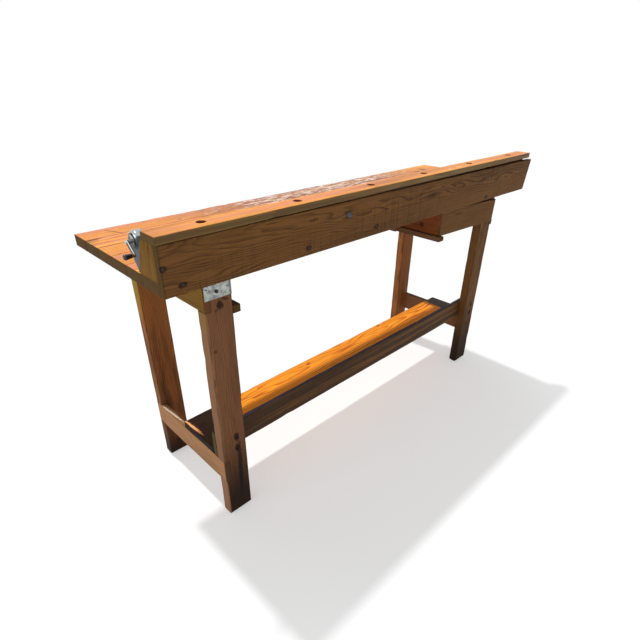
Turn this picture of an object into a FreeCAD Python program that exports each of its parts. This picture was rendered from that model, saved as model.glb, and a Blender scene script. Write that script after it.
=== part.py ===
import FreeCAD, Part
import math
import os

# Millimetres. While it is modelled, the bench stands with the left end of its front
# apron at X = 0, the apron's front face at Y = 0 and its feet on Z = 0.
# X runs along the bench to the right, Y to the rear, Z up.
# At the end everything is moved so that the origin is on the floor, at the middle
# of the overall footprint.

# Working heights
tabletop_height = 938.0        # top face of the boards
beam_rise = 112.0              # top of the raised front beam above the boards

# Tabletop boards
tabletop_length = 1736.0
board_count = 6
board_width = 83.6
board_joint = 0.3
board_thickness = 33.0
edge_ease = 2.0                # rounding of worn wooden edges

# Front apron, a board on edge; its right end is sawn on a slant and hangs low
apron_thickness = 20.0
apron_length = 1776.0          # along its top edge
apron_slant = 24.0             # its lower edge is this much shorter
apron_drop = 31.0              # its lower edge below the top of the boards
apron_droop = 9.0

# Strip on top of the beam, with bench dog holes
strip_length = 1753.0
strip_width = 62.0
strip_thickness = 20.0
strip_overhang = 3.0           # past the apron's left end
dog_hole_diameter = 25.0
dog_hole_inset = 34.0          # from the strip's front edge
dog_hole_shares = (0.077, 0.246, 0.418, 0.576, 0.745, 0.921)

# Coach bolt through the apron and the riser block behind it
bolt_head_radius = 9.0
bolt_head_height = 5.0
bolt_head_round = 4.4
bolt_shank_radius = 4.0
bolt_shank_spare = 13.0        # past the block, for the washer and the nut
bolt_below_top = 42.0
bolt_across_share = 0.405      # of the riser block's thickness
bolt_play = 0.2
bolt_washer_radius = 8.5
bolt_washer_thickness = 1.5
bolt_nut_radius = 7.5          # to its corners
bolt_nut_height = 6.5

# Blocks between the boards and the strip
block_thickness = 38.0
end_block_foot = 91.0          # depth of the sloping end block at its foot
end_block_head = 53.0          # and at its head
riser_share = 0.335
long_riser_share = 0.665       # from here on one block runs to the right end

# Legs
leg_width = 89.0
leg_thickness = 38.0
leg_setback = 87.0             # front legs behind the apron's face
leg_spread = 414.0             # front leg to rear leg
left_leg_from_end = 141.0
trestle_spacing = 1453.0       # left legs to right legs
foot_chamfer = 11.0

# Cross rails let into the outer faces of the legs
rail_thickness = 20.0
lower_rail_height = 90.0
lower_rail_bottom = 162.0
upper_rail_height = 115.0

# Shelf board on the lower rails and the stretcher on edge in front of it
shelf_thickness = 26.0
shelf_width = 184.0
shelf_gap = 5.0                # between stretcher and shelf
stretcher_thickness = 19.0
stretcher_height = 89.0
stretcher_above_rail = 11.0

# Ledge strips along the sides of the trestles
ledge_width = 26.0
ledge_height = 25.0
left_ledge_drop = 143.0        # its lower edge below the boards
right_ledge_width = 13.0
right_ledge_drop = 173.0

# Drawer, which hangs a little low at the right
drawer_left = 1219.0           # from the apron's left end
drawer_front_width = 432.0
drawer_front_height = 97.0
drawer_front_thickness = 19.0
drawer_box_width = 366.0
drawer_box_depth = 330.0
drawer_side_thickness = 12.0
drawer_side_height = 86.0
drawer_bottom_thickness = 6.0
drawer_bottom_groove = 5.0     # how far the bottom stands into the sides
drawer_bottom_rise = 8.0
drawer_tilt_deg = 2.2
drawer_play = 0.4
tail_count = 5
tail_slope = 2.0
tail_half_share = 0.36         # of the pitch from tail to tail
tail_depth_share = 0.7         # of the front's thickness

# Drawer runners and what hangs them
runner_width = 26.0
runner_height = 20.0
runner_drop = 129.0            # its top face below the boards
runner_proud = 8.0             # past the drawer's side
runner_nose = 11.0             # in front of the drawer's face
hanger_thickness = 12.0
hanger_width = 40.0
hanger_inset = 185.0           # behind the drawer front
rear_hanger_thickness = 19.0
rear_hanger_gap = 22.0

# Galvanised angle bracket on the front left leg
bracket_width = 83.0
bracket_drop = 79.0
bracket_reach = 56.0
bracket_sheet = 2.5
bracket_lip = 6.0
bracket_edge = 3.0             # from the leg's left edge
bracket_leg_shares = ((0.45, 0.26), (0.45, 0.8))
bracket_board_shares = ((0.25, 0.6), (0.75, 0.6))
bracket_spare_share = (0.1, 0.4)
bracket_spare_radius = 2.2     # of the hole that holds no screw

# Fixings
nail_head_diameter = 8.0
nail_head_thickness = 1.2
nail_shank_diameter = 3.6
nail_length = 60.0
nail_play = 0.05
apron_nail_places = ((6.0, 70.0), (48.0, 22.0), (438.0, 19.0), (728.0, 22.0), (1421.0, 6.0))
screw_head_diameter = 10.0
screw_head_height = 3.5
screw_shank_diameter = 5.0
screw_length = 45.0
screw_sink = 7.0
screw_sink_diameter = 11.0
screw_slot_width = 1.4
screw_slot_depth = 1.2
stretcher_screw_spacing = 45.0
stretcher_screw_share = 0.62   # across the leg
bracket_screw_length = 22.0

# Hand cranked pencil sharpener on the sloping rear face of the end block
mount_rise = 73.0              # crank axis, measured up the sloping face
mount_standoff = 29.0          # and out from it
case_overhang = 5.0            # dome in front of the block's left face
flange_thickness = 3.0
flange_length = 84.0
flange_start = 3.5
flange_width = 34.0
flange_screw_shares = (0.16, 0.62)
flange_screw_across_share = 0.62
web_thickness = 14.0
web_round = 3.0
web_heel_rise = 20.0           # rearmost corner of the web, up the slope
web_heel_reach = 28.0          # and out from it
case_radius = 23.5
case_depth = 25.0
case_round = 12.0
groove_radius = 17.5           # ring groove in the dome
groove_size = 1.5
shaft_radius = 3.0
running_play = 0.05
cup_bore_radius = 16.2
cup_wall = 1.0
cup_play = 0.2                 # round the ring gear, and behind the case
cup_length = 36.0
cup_hole_radius = 5.5
ring_teeth = 32
pinion_teeth = 8
gear_module = 0.65
gear_width = 4.0
gear_play = 0.4
ring_width = 5.0
tooth_half_share = 0.31        # of the pitch, at a pinion tooth's root
tooth_tip_half_share = 0.13
space_half_share = 0.36        # at the mouth of the ring's tooth spaces
space_end_half_share = 0.22
carrier_radius = 15.5
carrier_disc = 2.0
carrier_bar_width = 7.0
carrier_bar_thickness = 3.0
cutter_length = 20.0
cutter_small_radius = 4.2
cutter_play = 0.3
cutter_end_play = 0.5
journal_radius = 1.4
flute_count = 10
flute_depth = 0.8
flute_width = 0.7
dial_radius = 14.6
dial_thickness = 2.5
dial_hole_count = 5
dial_hole_circle = 8.0
dial_hole_smallest = 6.0
dial_hole_step = 0.5
dial_rivet_radius = 2.0
dial_gap = 0.3
rivet_head_radius = 3.2
rivet_head_height = 1.0
boss_radius = 4.6
boss_length = 6.5
arm_length = 35.5
arm_width = 8.5
arm_thickness = 4.5
arm_gap = 0.75
arm_lean_deg = 48.0            # from straight down, towards the front
nut_radius = 3.8
nut_height = 1.8
knob_length = 23.0
knob_neck_radius = 4.2
knob_end_radius = 6.8
knob_round = 3.0
knob_gap = 0.5
knob_pin_radius = 1.6
knob_bore_depth = 20.0
flange_screw_length = 16.0
flange_screw_head_radius = 3.4
flange_screw_head_height = 2.2
flange_screw_radius = 2.0

cut_over = 1.0                 # how far a cutting tool runs past the face it opens

# Places worked out from the sizes above
strip_top = tabletop_height + beam_rise
strip_bottom = strip_top - strip_thickness
apron_bottom = tabletop_height - apron_drop
boards_bottom = tabletop_height - board_thickness
board_pitch = board_width + board_joint
tabletop_depth = board_count * board_pitch - board_joint
front_leg_y = leg_setback
rear_leg_y = leg_setback + leg_spread
depth_overall = rear_leg_y + leg_thickness
left_leg_x = left_leg_from_end
right_leg_x = left_leg_from_end + trestle_spacing
right_outer_x = right_leg_x + leg_width
trestle_depth = depth_overall - front_leg_y
upper_rail_bottom = boards_bottom - upper_rail_height
lower_rail_top = lower_rail_bottom + lower_rail_height
stretcher_bottom = lower_rail_top + stretcher_above_rail
stretcher_y = front_leg_y + leg_thickness
shelf_y = stretcher_y + stretcher_thickness + shelf_gap

block_height = strip_bottom - tabletop_height
case_face_x = -case_overhang
boss_left_x = case_face_x - boss_length
arm_right_x = boss_left_x - arm_gap
arm_left_x = arm_right_x - arm_thickness
knob_right_x = arm_left_x - knob_gap
crank_reach = knob_length - knob_right_x
x_middle = (apron_length - crank_reach) / 2
y_middle = (depth_overall - bolt_head_height) / 2

slope_run = end_block_foot - end_block_head
slope_length = math.hypot(slope_run, block_height)
up_slope = FreeCAD.Vector(0, -slope_run / slope_length, block_height / slope_length)
off_slope = FreeCAD.Vector(0, block_height / slope_length, slope_run / slope_length)
slope_foot = FreeCAD.Vector(0, apron_thickness + end_block_foot, tabletop_height)
along = FreeCAD.Vector(1, 0, 0)
axis_point = slope_foot + up_slope * mount_rise + off_slope * mount_standoff


def block(x, y, z, length, depth, height, ease=0.0):
    """A box from its low corner, with its edges rounded when ease is given."""
    solid = Part.makeBox(length, depth, height, FreeCAD.Vector(x, y, z))
    if ease:
        limit = min(length, depth, height) / 3
        solid = solid.makeFillet(min(ease, limit), solid.Edges)
    return solid


def rod(radius, x0, x1, centre=axis_point):
    """A round bar along X through a point of the crank's plane."""
    start = FreeCAD.Vector(x0, centre.y, centre.z)
    return Part.makeCylinder(radius, x1 - x0, start, along)


def post(radius, x, y, z, length, direction):
    return Part.makeCylinder(radius, length, FreeCAD.Vector(x, y, z), direction)


def plate(points, push):
    """A flat outline pushed to a solid."""
    return Part.Face(Part.makePolygon(points + points[:1])).extrude(push)


def save(name, shape):
    moved = shape.translated(FreeCAD.Vector(-x_middle, -y_middle, 0))
    moved.exportStep(os.path.join("parts", name + ".step"))


# Legs


def leg(x, y, outer_left):
    solid = block(x, y, 0, leg_width, leg_thickness, boards_bottom)
    foot = [edge for edge in solid.Edges if edge.BoundBox.ZMax < foot_chamfer / 2]
    solid = solid.makeChamfer(foot_chamfer, foot)
    sides = [edge for edge in solid.Edges
             if edge.BoundBox.ZLength > boards_bottom / 2]
    solid = solid.makeFillet(edge_ease, sides)
    notch_x = x - cut_over if outer_left else x + leg_width - rail_thickness
    notch_width = rail_thickness + cut_over
    for bottom, height in ((lower_rail_bottom, lower_rail_height),
                           (upper_rail_bottom, upper_rail_height + cut_over)):
        notch = block(notch_x, y - cut_over, bottom,
                      notch_width, leg_thickness + 2 * cut_over, height)
        solid = solid.cut(notch)
    return solid


def stretcher_screw_places():
    middle = stretcher_bottom + stretcher_height / 2
    for x in (left_leg_x, right_leg_x):
        for side in (-1, 1):
            yield x + leg_width * stretcher_screw_share, middle + side * stretcher_screw_spacing / 2


def sunk_screw(x, z):
    """A slotted screw in its sinking, driven to the rear through the leg."""
    rear = FreeCAD.Vector(0, 1, 0)
    head_y = front_leg_y + screw_sink - screw_head_height
    head = post(screw_head_diameter / 2, x, head_y, z, screw_head_height, rear)
    shank = post(screw_shank_diameter / 2, x, head_y + screw_head_height, z,
                 screw_length, rear)
    slot = block(x - screw_head_diameter, head_y - cut_over, z - screw_slot_width / 2,
                 2 * screw_head_diameter, cut_over + screw_slot_depth, screw_slot_width)
    return head.fuse(shank).removeSplitter().cut(slot)


def screw_way(x, z):
    rear = FreeCAD.Vector(0, 1, 0)
    sink = post(screw_sink_diameter / 2, x, front_leg_y - cut_over, z,
                screw_sink + cut_over, rear)
    bore = post(screw_shank_diameter / 2 + nail_play, x, front_leg_y, z,
                screw_sink + screw_length + nail_play, rear)
    return sink.fuse(bore)


def make_trestles():
    ways = [screw_way(x, z) for x, z in stretcher_screw_places()]
    front_left = leg(left_leg_x, front_leg_y, True)
    front_right = leg(right_leg_x, front_leg_y, False)
    for way in ways:
        front_left = front_left.cut(way)
        front_right = front_right.cut(way)
    front_left = front_left.cut(bracket_leg_holes())
    save("front_left_leg", front_left)
    save("front_right_leg", front_right)
    save("rear_left_leg", leg(left_leg_x, rear_leg_y, True))
    save("rear_right_leg", leg(right_leg_x, rear_leg_y, False))
    for side, x in (("left", left_leg_x), ("right", right_outer_x - rail_thickness)):
        save("lower_rail_" + side, block(x, front_leg_y, lower_rail_bottom,
             rail_thickness, trestle_depth, lower_rail_height, edge_ease))
        save("upper_rail_" + side, block(x, front_leg_y, upper_rail_bottom,
             rail_thickness, trestle_depth, upper_rail_height, edge_ease))
    save("ledge_strip_left", block(left_leg_x + leg_width, front_leg_y,
         boards_bottom - left_ledge_drop, ledge_width, trestle_depth, ledge_height, edge_ease))
    save("ledge_strip_right", block(right_outer_x, front_leg_y,
         boards_bottom - right_ledge_drop, right_ledge_width, trestle_depth,
         ledge_height, edge_ease))
    stretcher = block(left_leg_x, stretcher_y, stretcher_bottom,
                      right_outer_x - left_leg_x, stretcher_thickness,
                      stretcher_height, edge_ease)
    for way in ways:
        stretcher = stretcher.cut(way)
    save("front_stretcher", stretcher)
    save("stretcher_screws", Part.makeCompound(
         [sunk_screw(x, z) for x, z in stretcher_screw_places()]))
    save("shelf_board", block(left_leg_x, shelf_y, lower_rail_top,
         right_outer_x - left_leg_x, shelf_width, shelf_thickness, edge_ease))


# Boards and raised beam


def apron_nail(x, z, over=0.0):
    """A nail through the apron; with over it is the hole that the nail fills."""
    rear = FreeCAD.Vector(0, 1, 0)
    extra = nail_play if over else 0.0
    head = post(nail_head_diameter / 2 + extra, x, -over, z,
                nail_head_thickness + over, rear)
    shank = post(nail_shank_diameter / 2 + extra, x, 0, z, nail_length + extra, rear)
    return head.fuse(shank).removeSplitter()


def nail_heights():
    return [(x, apron_bottom + rise) for x, rise in apron_nail_places]


def drill_apron_nails(solid):
    for x, z in nail_heights():
        solid = solid.cut(apron_nail(x, z, cut_over))
    return solid


def bolt_rod(radius, y0, y1):
    """A round bar along the bolt's line."""
    x = riser_share * tabletop_length + block_thickness * bolt_across_share
    return post(radius, x, y0, strip_bottom - bolt_below_top, y1 - y0,
                FreeCAD.Vector(0, 1, 0))


def apron_bolt():
    head = bolt_rod(bolt_head_radius, -bolt_head_height, 0)
    crown = [edge for edge in head.Edges if edge.BoundBox.YMax < -bolt_head_height / 2]
    head = head.makeFillet(bolt_head_round, crown)
    washer_end = strip_width + bolt_washer_thickness
    shank = bolt_rod(bolt_shank_radius, -bolt_head_height / 2, strip_width + bolt_shank_spare)
    solid = head.fuse(shank).fuse(bolt_rod(bolt_washer_radius, strip_width, washer_end))
    centre = shank.CenterOfMass
    corners = [FreeCAD.Vector(centre.x + bolt_nut_radius * math.cos(math.pi * k / 3), washer_end,
                              centre.z + bolt_nut_radius * math.sin(math.pi * k / 3))
               for k in range(6)]
    nut = plate(corners, FreeCAD.Vector(0, bolt_nut_height, 0))
    return solid.fuse(nut).removeSplitter()


def make_tabletop():
    for number in range(board_count):
        y = apron_thickness + number * board_pitch
        board = block(0, y, boards_bottom, tabletop_length, board_width,
                      board_thickness, edge_ease)
        if number == 0:
            board = drill_apron_nails(board)
            board = board.cut(bracket_board_holes())
        save("tabletop_board_%d" % (number + 1), board)


def make_beam():
    drop = FreeCAD.Vector(0, 0, -apron_droop)
    corners = [FreeCAD.Vector(0, 0, apron_bottom),
               FreeCAD.Vector(apron_length - apron_slant, 0, apron_bottom) + drop,
               FreeCAD.Vector(apron_length, 0, strip_bottom) + drop,
               FreeCAD.Vector(0, 0, strip_bottom)]
    apron = plate(corners, FreeCAD.Vector(0, apron_thickness, 0))
    long_edges = [edge for edge in apron.Edges
                  if edge.BoundBox.XLength > apron_length / 2]
    apron = apron.makeFillet(edge_ease, long_edges)
    bolt_way = bolt_rod(bolt_shank_radius + bolt_play, -cut_over, strip_width + cut_over)
    save("front_apron", drill_apron_nails(apron.cut(bolt_way)))
    save("apron_nails", Part.makeCompound([apron_nail(x, z) for x, z in nail_heights()]))

    strip = block(-strip_overhang, 0, strip_bottom, strip_length, strip_width,
                  strip_thickness, edge_ease)
    for share in dog_hole_shares:
        hole = post(dog_hole_diameter / 2, share * strip_length - strip_overhang,
                    dog_hole_inset, strip_bottom - cut_over,
                    strip_thickness + 2 * cut_over, FreeCAD.Vector(0, 0, 1))
        strip = strip.cut(hole)
    save("beam_top_strip", strip)

    front = FreeCAD.Vector(0, apron_thickness, tabletop_height)
    lift = FreeCAD.Vector(0, 0, block_height)
    profile = [front, front + FreeCAD.Vector(0, end_block_foot, 0),
               front + lift + FreeCAD.Vector(0, end_block_head, 0), front + lift]
    end_block = plate(profile, FreeCAD.Vector(block_thickness, 0, 0))
    end_block = drill_apron_nails(end_block)
    for screw in flange_screws(nail_play):
        end_block = end_block.cut(screw)
    save("beam_end_block", end_block)
    risers = []
    for share, length in ((riser_share, block_thickness),
                          (long_riser_share, tabletop_length - tabletop_length * long_riser_share)):
        risers.append(block(share * tabletop_length, apron_thickness, tabletop_height, length,
                            strip_width - apron_thickness, block_height, edge_ease / 2))
    risers[0] = risers[0].cut(bolt_way)
    save("beam_riser_blocks", Part.makeCompound(risers))
    save("apron_bolt", apron_bolt())


# Angle bracket


def bracket_screw_points():
    """Heads on the leg leaf, then heads under the boards."""
    x = left_leg_x + bracket_edge
    leaf_z = boards_bottom - bracket_drop
    on_leg = [(x + bracket_width * across, leaf_z + bracket_drop * up)
              for across, up in bracket_leg_shares]
    on_boards = [(x + bracket_width * across, front_leg_y - bracket_reach * out)
                 for across, out in bracket_board_shares]
    return on_leg, on_boards


def bracket_shanks(extra):
    on_leg, on_boards = bracket_screw_points()
    radius = screw_shank_diameter / 2 + extra
    shanks = [post(radius, x, front_leg_y - bracket_sheet, z,
                   bracket_screw_length + extra, FreeCAD.Vector(0, 1, 0))
              for x, z in on_leg]
    shanks += [post(radius, x, y, boards_bottom - bracket_sheet,
                    bracket_screw_length + extra, FreeCAD.Vector(0, 0, 1))
               for x, y in on_boards]
    return shanks


def bracket_leg_holes():
    return Part.makeCompound(bracket_shanks(nail_play)[:2])


def bracket_board_holes():
    return Part.makeCompound(bracket_shanks(nail_play)[2:])


def make_bracket():
    x = left_leg_x + bracket_edge
    leaf_z = boards_bottom - bracket_drop
    face_y = front_leg_y - bracket_sheet
    solid = block(x, face_y, leaf_z, bracket_width, bracket_sheet, bracket_drop)
    solid = solid.fuse(block(x, front_leg_y - bracket_reach, boards_bottom - bracket_sheet,
                             bracket_width, bracket_reach, bracket_sheet))
    lip = block(x + bracket_width - bracket_sheet, front_leg_y - bracket_lip, leaf_z,
                bracket_sheet, bracket_lip, bracket_drop)
    solid = solid.fuse(lip).removeSplitter()
    for shank in bracket_shanks(nail_play):
        solid = solid.cut(shank)
    across, up = bracket_spare_share
    spare = post(bracket_spare_radius, x + bracket_width * across, face_y - cut_over,
                 leaf_z + bracket_drop * up, bracket_sheet + 2 * cut_over,
                 FreeCAD.Vector(0, 1, 0))
    save("leg_bracket", solid.cut(spare))

    screws = []
    on_leg, on_boards = bracket_screw_points()
    shanks = bracket_shanks(0.0)
    half = screw_head_diameter / 2
    slot_half = screw_slot_width / 2
    for (sx, sz), shank in zip(on_leg, shanks[:2]):
        head = post(half, sx, face_y - screw_head_height, sz, screw_head_height,
                    FreeCAD.Vector(0, 1, 0))
        slot = block(sx - slot_half, face_y - screw_head_height - cut_over, sz - half,
                     screw_slot_width, screw_slot_depth + cut_over, 2 * half)
        screws.append(head.fuse(shank).removeSplitter().cut(slot))
    low = boards_bottom - bracket_sheet
    for (sx, sy), shank in zip(on_boards, shanks[2:]):
        head = post(half, sx, sy, low - screw_head_height, screw_head_height,
                    FreeCAD.Vector(0, 0, 1))
        slot = block(sx - slot_half, sy - half, low - screw_head_height - cut_over,
                     screw_slot_width, 2 * half, screw_slot_depth + cut_over)
        screws.append(head.fuse(shank).removeSplitter().cut(slot))
    save("bracket_screws", Part.makeCompound(screws))


# Drawer and runners

drawer_back_y = front_leg_y - drawer_play
drawer_face_y = drawer_back_y - drawer_front_thickness
runner_top = boards_bottom - runner_drop
drawer_rest = runner_top + drawer_play / 2
drawer_right = drawer_left + drawer_box_width
drawer_hinge_x = drawer_left + drawer_side_thickness
right_runner_top = (runner_top - (drawer_right - drawer_hinge_x)
                    * math.sin(math.radians(drawer_tilt_deg)))
box_rear_y = drawer_back_y + drawer_box_depth


def tilted(shape):
    """The drawer's pieces turn together about the inner bottom edge of its left side."""
    turned = shape.copy()
    turned.rotate(FreeCAD.Vector(drawer_hinge_x, 0, drawer_rest),
                  FreeCAD.Vector(0, 1, 0), drawer_tilt_deg)
    return turned


def tails(x, play=0.0):
    """Dovetail tails of a drawer side, which stand forward into the front."""
    depth = drawer_front_thickness * tail_depth_share
    pitch = drawer_side_height / tail_count
    shapes = []
    for number in range(tail_count):
        middle = drawer_rest + (2 * number + 1) * pitch / 2
        wide = pitch * tail_half_share + play
        narrow = wide - tail_slope
        front = drawer_back_y - depth - play
        points = [FreeCAD.Vector(x - play, drawer_back_y, middle - narrow),
                  FreeCAD.Vector(x - play, front, middle - wide),
                  FreeCAD.Vector(x - play, front, middle + wide),
                  FreeCAD.Vector(x - play, drawer_back_y, middle + narrow)]
        shapes.append(plate(points, FreeCAD.Vector(drawer_side_thickness + 2 * play, 0, 0)))
    return shapes


def make_drawer():
    groove = block(drawer_left + drawer_side_thickness - drawer_bottom_groove,
                   drawer_back_y - drawer_bottom_groove, drawer_rest + drawer_bottom_rise,
                   drawer_box_width - 2 * (drawer_side_thickness - drawer_bottom_groove),
                   drawer_box_depth + drawer_bottom_groove, drawer_bottom_thickness)
    front = block(drawer_left, drawer_face_y, drawer_rest + drawer_play,
                  drawer_front_width, drawer_front_thickness,
                  drawer_front_height, edge_ease / 2)
    front = front.cut(groove)
    for name, x in (("left", drawer_left),
                    ("right", drawer_right - drawer_side_thickness)):
        side = block(x, drawer_back_y, drawer_rest, drawer_side_thickness,
                     drawer_box_depth, drawer_side_height)
        if name == "left":
            for tail in tails(x):
                side = side.fuse(tail)
            for socket in tails(x, nail_play):
                front = front.cut(socket)
            side = side.removeSplitter()
        side = side.cut(groove)
        save("drawer_side_" + name, tilted(side))
    save("drawer_front", tilted(front))
    save("drawer_bottom", tilted(groove))
    back_rise = drawer_bottom_rise + drawer_bottom_thickness
    save("drawer_back", tilted(block(
         drawer_left + drawer_side_thickness, box_rear_y - drawer_side_thickness,
         drawer_rest + back_rise, drawer_box_width - 2 * drawer_side_thickness,
         drawer_side_thickness, drawer_side_height - back_rise)))


def make_runners():
    left_x = drawer_left - runner_proud
    nose_y = drawer_face_y - runner_nose
    rear_y = box_rear_y + rear_hanger_gap
    left = block(left_x, nose_y, runner_top - runner_height, runner_width,
                 rear_y - nose_y, runner_height)
    nose = [edge for edge in left.Edges
            if edge.BoundBox.YMax < nose_y + cut_over and edge.BoundBox.XLength > cut_over]
    save("drawer_runner_left", left.makeFillet(runner_height / 3, nose))
    right_x = right_leg_x - runner_width
    save("drawer_runner_right", block(right_x, front_leg_y, right_runner_top - runner_height,
         runner_width, trestle_depth, runner_height))
    hanger_bottom = runner_top - runner_height
    save("runner_hanger_front", block(
         left_x - hanger_thickness, drawer_back_y + hanger_inset, hanger_bottom,
         hanger_thickness, hanger_width, boards_bottom - hanger_bottom))
    save("runner_hanger_rear", block(
         left_x, rear_y, hanger_bottom, right_x - left_x, rear_hanger_thickness,
         boards_bottom - hanger_bottom))


# Pencil sharpener


def on_slope(rise, off, x=0.0):
    return slope_foot + up_slope * rise + off_slope * off + along * x


def flange_screws(extra):
    """Two screws square to the sloping face; with extra they are their holes."""
    shapes = []
    for share in flange_screw_shares:
        rise = flange_start + flange_length * share
        tip = on_slope(rise, flange_thickness, flange_width * flange_screw_across_share)
        shank = Part.makeCylinder(flange_screw_radius + extra,
                                  flange_screw_length + flange_thickness + extra,
                                  tip, off_slope * -1)
        head = Part.makeCylinder(flange_screw_head_radius, flange_screw_head_height,
                                 tip, off_slope)
        crown = [edge for edge in head.Edges
                 if (edge.CenterOfMass - tip).dot(off_slope)
                 > flange_screw_head_height * 3 / 4]
        head = head.makeFillet(flange_screw_head_height / 2, crown)
        shapes.append(shank if extra else shank.fuse(head).removeSplitter())
    return shapes


def tangent_point(start, centre, radius, side):
    """Where a line from start touches a circle, both given as (rise, off)."""
    run = centre[0] - start[0]
    climb = centre[1] - start[1]
    distance = math.hypot(run, climb)
    turn = math.atan2(climb, run) + math.pi - side * math.acos(radius / distance)
    return (centre[0] + radius * math.cos(turn), centre[1] + radius * math.sin(turn))


def gear_outline(teeth, root, tip, root_share, tip_share):
    """Corner points of a simple gear, as (angle, radius) pairs round the axis."""
    pitch = 2 * math.pi / teeth
    outline = []
    for number in range(teeth):
        middle = number * pitch
        for share, radius in ((-root_share, root), (-tip_share, tip),
                              (tip_share, tip), (root_share, root)):
            outline.append((middle + share * pitch, radius))
    return outline


def gear_solid(outline, centre, x, width):
    points = [FreeCAD.Vector(x, centre.y + radius * math.cos(angle),
                             centre.z + radius * math.sin(angle))
              for angle, radius in outline]
    return plate(points, along * width)


case_back_x = case_face_x + case_depth
ring_pitch_radius = gear_module * ring_teeth / 2
pinion_pitch_radius = gear_module * pinion_teeth / 2
cutter_offset = ring_pitch_radius - pinion_pitch_radius
cutter_large_radius = cutter_offset - cutter_play
cup_radius = cup_bore_radius + cup_wall
carrier_x = case_back_x + ring_width + cutter_end_play
cutter_x = carrier_x + carrier_disc + cutter_end_play
carrier_far_x = cutter_x + cutter_length + cutter_end_play
cup_x = case_back_x + cup_play
cup_end_x = cup_x + cup_length
dial_x = cup_end_x + dial_gap


def make_sharpener_frame():
    start = flange_start
    end = flange_start + flange_length
    flange = plate([on_slope(start, 0), on_slope(end, 0), on_slope(end, flange_thickness),
                    on_slope(start, flange_thickness)], along * flange_width)
    hub = (mount_rise, mount_standoff)
    heel = (web_heel_rise, web_heel_reach)
    high = (end, flange_thickness)
    outline = [(start, flange_thickness), high, tangent_point(high, hub, case_radius, -1),
               hub, tangent_point(heel, hub, case_radius, 1), heel]
    web = plate([on_slope(rise, off) for rise, off in outline], along * web_thickness)
    heel_point = on_slope(web_heel_rise, web_heel_reach)
    rim = [edge for edge in web.Edges
           if edge.BoundBox.XMax < web_round / 2
           and edge.distToShape(Part.Vertex(heel_point))[0] < web_round / 2]
    web = web.makeFillet(web_round, rim)
    case = rod(case_radius, case_face_x, case_back_x)
    brow = [edge for edge in case.Edges if edge.BoundBox.XMax < case_face_x + web_round]
    case = case.makeFillet(case_round, brow)
    arc_rise = math.sqrt(case_round ** 2 - (groove_radius - case_radius + case_round) ** 2)
    groove_x = case_face_x + case_round - arc_rise
    groove = Part.makeTorus(groove_radius, groove_size,
                            FreeCAD.Vector(groove_x, axis_point.y, axis_point.z), along)
    boss = rod(boss_radius, boss_left_x, case_face_x + cut_over)
    solid = flange.fuse(web).fuse(case.cut(groove)).fuse(boss).removeSplitter()
    ring = rod(cup_bore_radius - cup_play, case_back_x, case_back_x + ring_width)
    gaps = gear_outline(ring_teeth, ring_pitch_radius - gear_module + gear_play,
                        ring_pitch_radius + gear_module + gear_play,
                        space_half_share, space_end_half_share)
    ring = ring.cut(gear_solid(gaps, axis_point, case_back_x - cut_over,
                               ring_width + 2 * cut_over))
    solid = solid.cut(rod(shaft_radius + running_play, boss_left_x - cut_over,
                          case_back_x + cut_over))
    for screw in flange_screws(nail_play):
        solid = solid.cut(screw)
    save("sharpener_frame", solid.removeSplitter())
    save("sharpener_ring_gear", ring)
    save("sharpener_screws", Part.makeCompound(flange_screws(0.0)))


def cutter_centre(side):
    return axis_point + FreeCAD.Vector(0, side * cutter_offset, 0)


def make_cutters():
    for name, side in (("front", -1), ("rear", 1)):
        centre = cutter_centre(side)
        start = FreeCAD.Vector(cutter_x, centre.y, centre.z)
        body = Part.makeCone(cutter_large_radius, cutter_small_radius, cutter_length,
                             start, along)
        for number in range(flute_count):
            angle = 2 * math.pi * number / flute_count
            flute = block(cutter_x - cut_over, centre.y - flute_width / 2,
                          centre.z + cutter_small_radius - flute_depth,
                          cutter_length + 2 * cut_over, flute_width, cutter_large_radius)
            flute.rotate(centre, along, math.degrees(angle))
            body = body.cut(flute)
        journal = rod(journal_radius, case_back_x + cutter_end_play,
                      carrier_far_x + carrier_disc, centre)
        teeth = gear_outline(pinion_teeth, pinion_pitch_radius - gear_module,
                             pinion_pitch_radius + gear_module,
                             tooth_half_share, tooth_tip_half_share)
        pinion = gear_solid(teeth, centre, case_back_x + cutter_end_play, gear_width)
        save("sharpener_cutter_" + name, body.fuse(journal).fuse(pinion).removeSplitter())


def make_carrier():
    near = rod(carrier_radius, carrier_x, carrier_x + carrier_disc)
    far = rod(carrier_radius, carrier_far_x, carrier_far_x + carrier_disc)
    far = far.cut(rod(cup_hole_radius, carrier_far_x - cut_over,
                      carrier_far_x + carrier_disc + cut_over))
    solid = near.fuse(far)
    for side in (-1, 1):
        edge = side * (carrier_radius - carrier_bar_thickness)
        z = axis_point.z + min(edge, side * (carrier_radius - 2 * carrier_bar_thickness))
        bar = block(carrier_x, axis_point.y - carrier_bar_width / 2, z,
                    carrier_far_x + carrier_disc - carrier_x, carrier_bar_width,
                    carrier_bar_thickness)
        solid = solid.fuse(bar)
    for side in (-1, 1):
        bore = rod(journal_radius + running_play, carrier_x - cut_over,
                   carrier_far_x + carrier_disc + cut_over, cutter_centre(side))
        solid = solid.cut(bore)
    solid = solid.cut(rod(shaft_radius, carrier_x - cut_over, carrier_x + carrier_disc))
    save("sharpener_carrier", solid.removeSplitter())


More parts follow.
